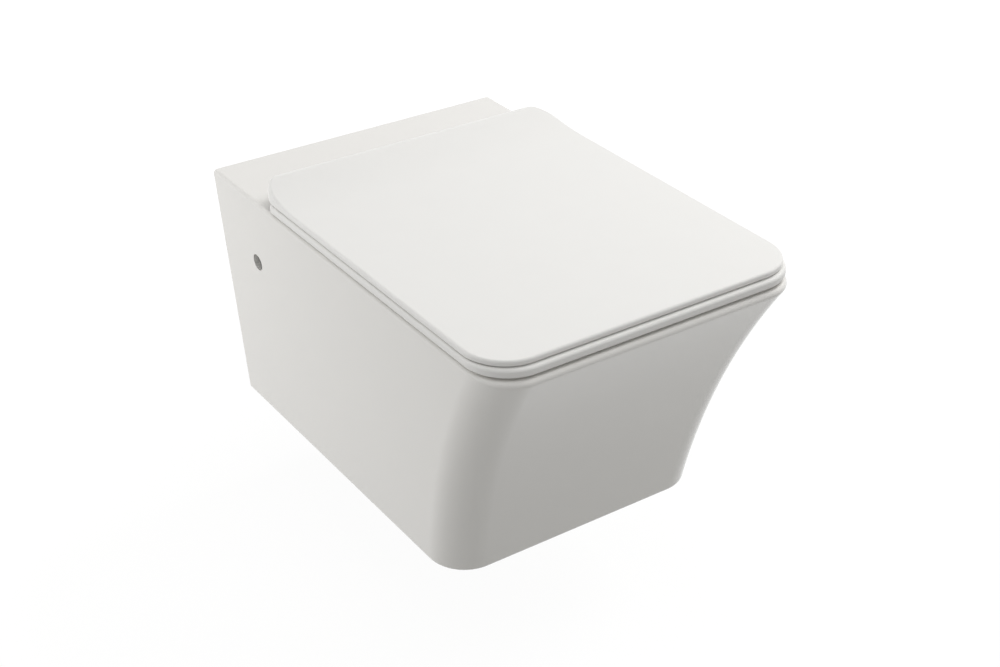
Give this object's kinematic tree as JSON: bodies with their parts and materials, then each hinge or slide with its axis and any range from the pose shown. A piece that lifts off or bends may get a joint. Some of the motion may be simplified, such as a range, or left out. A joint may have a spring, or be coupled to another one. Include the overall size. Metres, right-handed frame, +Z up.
{
  "type": "wall hung toilet",
  "caption": "Wall hung toilet pan with leaning sides and a hollow curved front, hinged seat ring and cover with a raised rear hump, held on two wall studs by hidden side-screwed brackets.",
  "frame": {"origin": "middle of the two wall studs, on the wall plane", "axes": "+Y into the wall, -Y out towards the user, +Z up, -X on the left as seen from the front"},
  "size_m": [0.361, 0.5432, 0.3165],
  "materials": {
    "glazed_china": "vitreous china, fired gloss glaze",
    "duroplast": "moulded duroplast, polished",
    "bracket_nylon": "glass filled nylon, moulded",
    "brass": "turned",
    "sleeve_plastic": "moulded",
    "zinc_steel": "zinc plated",
    "stainless": "turned stainless",
    "black_rubber": "moulded",
    "grey_rubber": "moulded",
    "hinge_plastic": "moulded acetal",
    "latch_plastic": "moulded",
    "damper_plastic": "moulded"
  },
  "bodies": {
    "pan": {"pan": "glazed_china", "fixing_bracket_left": "bracket_nylon", "fixing_bracket_right": "bracket_nylon", "bracket_inserts": "brass", "side_sleeves": "sleeve_plastic", "side_screws": "zinc_steel", "stud_washers": "zinc_steel", "stud_nuts": "zinc_steel", "flush_seal": "black_rubber", "hinge_posts": "stainless", "hinge_plates": "stainless", "hinge_gaskets": "grey_rubber", "expansion_bushes": "black_rubber", "cone_nuts": "brass", "hinge_block_left": "hinge_plastic", "hinge_block_right": "hinge_plastic", "latch_spring_left": "stainless", "latch_spring_right": "stainless", "seat_damper": "damper_plastic", "cover_damper": "damper_plastic", "seat_pivot_pin": "stainless", "cover_pivot_pin": "stainless"},
    "seat": {"seat_ring": "duroplast", "seat_buffers": "grey_rubber", "seat_damper_shaft": "stainless"},
    "cover": {"cover": "duroplast", "cover_buffers": "grey_rubber", "cover_damper_shaft": "stainless"},
    "latch_left": {"release_latch_left": "latch_plastic"},
    "latch_right": {"release_latch_right": "latch_plastic"}
  },
  "joints": [
    {"name": "seat_hinge", "type": "hinge", "parent": "pan", "child": "seat", "pos_m": [0, -0.11, 0.097], "axis": [-1, 0, 0], "range_deg": [0, 92]},
    {"name": "cover_hinge", "type": "hinge", "parent": "seat", "child": "cover", "pos_m": [0, -0.11, 0.097], "axis": [-1, 0, 0], "range_deg": [0, 92]},
    {"name": "latch_left_slide", "type": "slide", "parent": "pan", "child": "latch_left", "axis": [0, 1, 0], "range_m": [0, 0.0015], "stiffness_N_per_m": 800, "deforming": ["latch_spring_left"]},
    {"name": "latch_right_slide", "type": "slide", "parent": "pan", "child": "latch_right", "axis": [0, 1, 0], "range_m": [0, 0.0015], "stiffness_N_per_m": 800, "deforming": ["latch_spring_right"]}
  ]
}
